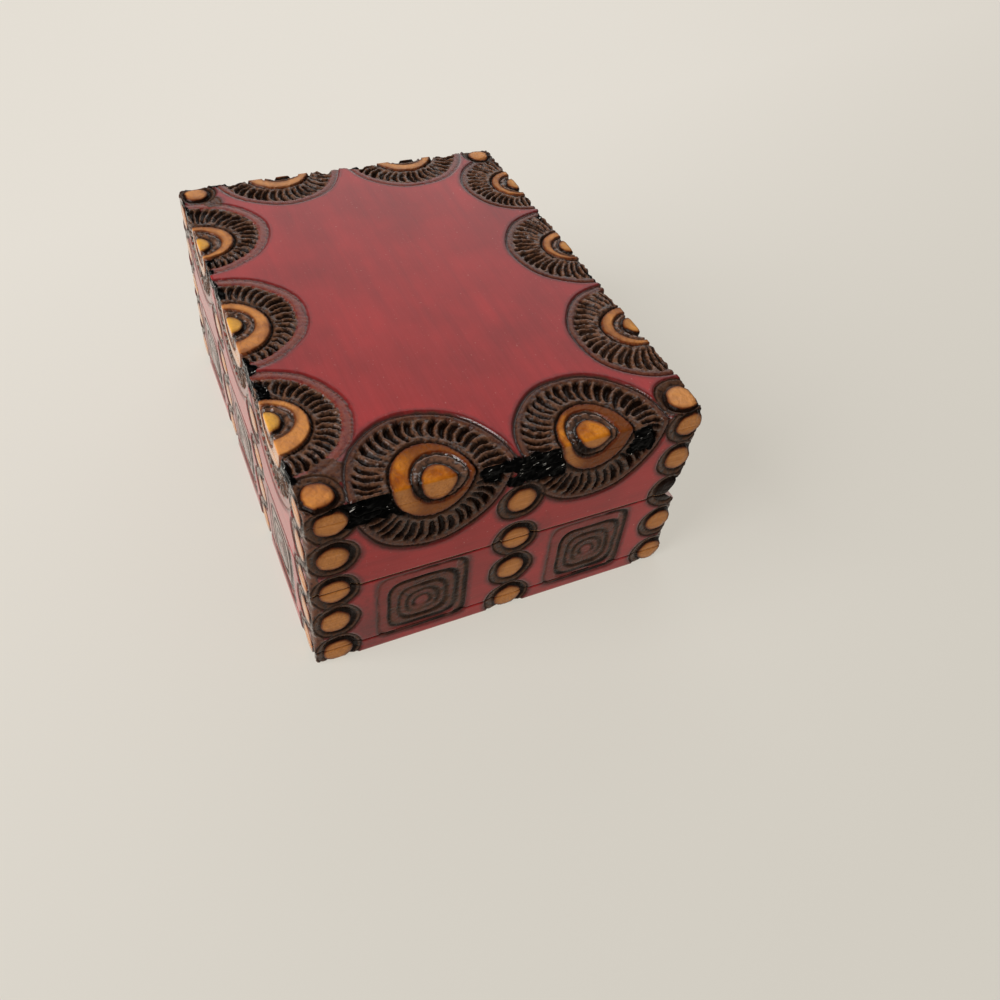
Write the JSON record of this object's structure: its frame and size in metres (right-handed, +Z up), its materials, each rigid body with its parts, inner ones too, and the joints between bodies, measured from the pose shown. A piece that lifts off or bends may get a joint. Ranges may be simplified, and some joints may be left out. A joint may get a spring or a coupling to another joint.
{
  "type": "wooden trinket box",
  "caption": "Small rectangular carved wooden box with a hinged lift-up lid, stained maroon, with stamped rosettes, bead rows and nested squares.",
  "frame": {"origin": "middle of the underside of the bottom board, with the lid closed", "axes": "+Z up, +X along the long sides and the hinge line, -Y the front that opens, +Y the back with the hinge groove"},
  "size_m": [0.1, 0.075, 0.043],
  "materials": {
    "stained_wood": "maroon stain with carved and burnt ornament, satin varnish",
    "bare_wood": "bare sanded limewood",
    "hinge_wire": "brassed wire, slightly dull"
  },
  "bodies": {
    "base": {"base_end_left": "stained_wood", "base_end_right": "stained_wood", "base_front": "stained_wood", "base_back": "stained_wood", "bottom_board": "bare_wood", "base_hinge_pin_left": "hinge_wire", "base_hinge_pin_right": "hinge_wire"},
    "lid": {"lid_end_left": "stained_wood", "lid_end_right": "stained_wood", "lid_front": "stained_wood", "lid_back": "stained_wood", "lid_top": "stained_wood", "lid_hinge_pin_left": "hinge_wire", "lid_hinge_pin_right": "hinge_wire"}
  },
  "joints": [
    {"name": "lid_hinge", "type": "hinge", "parent": "base", "child": "lid", "pos_m": [0, 0.0342, 0.021], "axis": [-1, 0, 0], "range_deg": [0, 100]}
  ]
}
